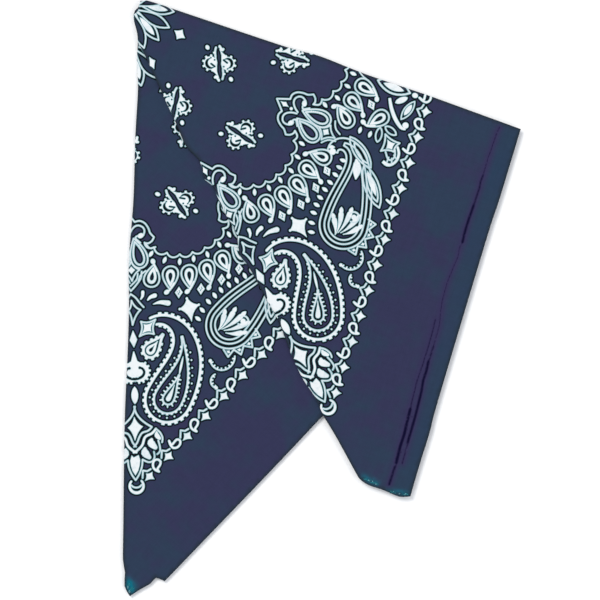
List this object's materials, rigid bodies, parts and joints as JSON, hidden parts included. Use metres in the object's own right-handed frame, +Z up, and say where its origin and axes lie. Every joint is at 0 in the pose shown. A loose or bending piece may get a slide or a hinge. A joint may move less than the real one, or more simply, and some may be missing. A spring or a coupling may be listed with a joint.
{
  "type": "bandana",
  "caption": "Square cotton paisley bandana folded into a flat fan of overlapping wedges, with a hemmed side and rounded hidden layers.",
  "frame": {"origin": "centre of the folded bandana's bounding box, on the surface that it lies on", "axes": "+Z up out of the surface, +Y from the legs' ends to the fan's apex, +X from the left fold to the hemmed side"},
  "size_m": [0.2777, 0.4157, 0.0063],
  "materials": {
    "hidden_layers": "navy cotton, matt, plain",
    "left_panel": "navy cotton, matt, with a white paisley print inside a plain border",
    "right_panel": "navy cotton, matt, with a white paisley print inside a plain border",
    "side_hem": "navy cotton, matt, turned under and stitched with dark thread"
  },
  "bodies": {
    "root": {"hidden_layers": "hidden_layers", "left_panel": "left_panel", "right_panel": "right_panel", "side_hem": "side_hem"}
  },
  "joints": []
}
